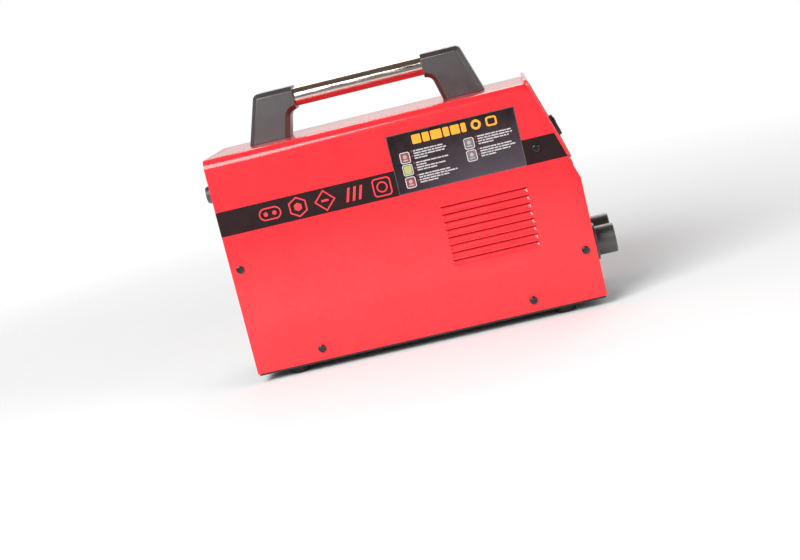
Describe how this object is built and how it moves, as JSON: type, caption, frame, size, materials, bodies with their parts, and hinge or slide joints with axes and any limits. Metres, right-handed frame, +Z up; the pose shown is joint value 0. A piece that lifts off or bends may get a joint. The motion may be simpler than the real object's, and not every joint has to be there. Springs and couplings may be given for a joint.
{
  "type": "stick welding inverter",
  "caption": "Portable stick welding inverter: folded metal case with slanted controls, carry handle, twin output sockets and a rear cooling fan.",
  "frame": {"origin": "on the surface it stands on, under the middle of the bounding box", "axes": "+X towards the control and socket end, +Y towards the machine's left side, +Z up"},
  "size_m": [0.41, 0.1504, 0.285],
  "materials": {
    "red_paint": "satin gloss powder coat",
    "dark_paint": "fine textured powder coat",
    "red_plastic": "satin moulded",
    "black_film": "printed film",
    "panel_film": "printed film",
    "smoked_window": "smoked, polished",
    "green_lens": "clear green",
    "amber_lens": "clear amber",
    "black_plastic": "fine grained moulded",
    "knob_plastic": "soft-touch moulded",
    "grey_plastic": "satin",
    "polished_steel": "polished",
    "zinc_steel": "zinc plated",
    "black_steel": "black oxide",
    "brass": "machined",
    "copper": "bare copper",
    "enamelled_copper": "enamelled",
    "ferrite": "fired, matte",
    "bare_aluminium": "extruded",
    "rubber": "matte",
    "board_green": "solder mask",
    "package_black": "moulded epoxy",
    "can_sleeve": "shrink sleeve",
    "relay_case": "moulded",
    "white_mark": "moulded"
  },
  "bodies": {
    "case": {"cover": "red_paint", "base_tray": "dark_paint", "front_panel": "dark_paint", "rear_panel": "dark_paint", "cover_screws": "black_steel", "side_bands": "black_film", "info_panels": "panel_film", "feet": "rubber", "foot_screws": "zinc_steel", "handle_post_rear": "black_plastic", "handle_post_front": "black_plastic", "handle_tube": "polished_steel", "handle_screws": "zinc_steel", "control_fascia": "red_plastic", "fascia_overlay": "black_film", "display_window": "smoked_window", "display_module": "package_black", "power_lens": "green_lens", "overheat_lens": "amber_lens", "pot_body": "zinc_steel", "pot_nut": "zinc_steel", "control_board": "board_green", "positive_socket_body": "black_plastic", "negative_socket_body": "black_plastic", "positive_socket_insert": "brass", "negative_socket_insert": "brass", "socket_nuts": "brass", "positive_busbar": "copper", "negative_busbar": "copper", "polarity_marks": "white_mark", "fan_frame": "black_plastic", "fan_guard": "polished_steel", "fan_screws": "zinc_steel", "cable_gland": "black_plastic", "gland_dome_nut": "black_plastic", "gland_seal": "rubber", "gland_locknut": "black_plastic", "ground_stud": "brass", "ground_nuts": "brass", "switch_housing": "black_plastic", "transistor_heatsink": "bare_aluminium", "diode_heatsink": "bare_aluminium", "heatsink_supports": "grey_plastic", "transistor_packages": "package_black", "diode_packages": "package_black", "board_standoffs": "zinc_steel", "main_board": "board_green", "bus_capacitors": "can_sleeve", "bridge_rectifier": "package_black", "start_relay": "relay_case", "auxiliary_transformer": "ferrite", "transformer_core": "ferrite", "transformer_windings": "enamelled_copper", "choke_core": "ferrite", "choke_winding": "enamelled_copper"},
    "knob": {"current_knob": "knob_plastic", "knob_cap": "grey_plastic", "pot_shaft": "zinc_steel"},
    "fan": {"fan_rotor": "black_plastic"},
    "rocker": {"switch_rocker": "relay_case"}
  },
  "joints": [
    {"name": "knob_turn", "type": "hinge", "parent": "case", "child": "knob", "pos_m": [0.16739, 0, 0.18072], "axis": [0.9523, 0, 0.3051], "range_deg": [-150, 150]},
    {"name": "fan_spin", "type": "hinge", "parent": "case", "child": "fan", "pos_m": [-0.1655, 0, 0.088], "axis": [1, 0, 0], "continuous": true},
    {"name": "switch_rock", "type": "hinge", "parent": "case", "child": "rocker", "pos_m": [-0.1795, -0.036, 0.192], "axis": [0, 1, 0], "range_deg": [0, 20]}
  ]
}
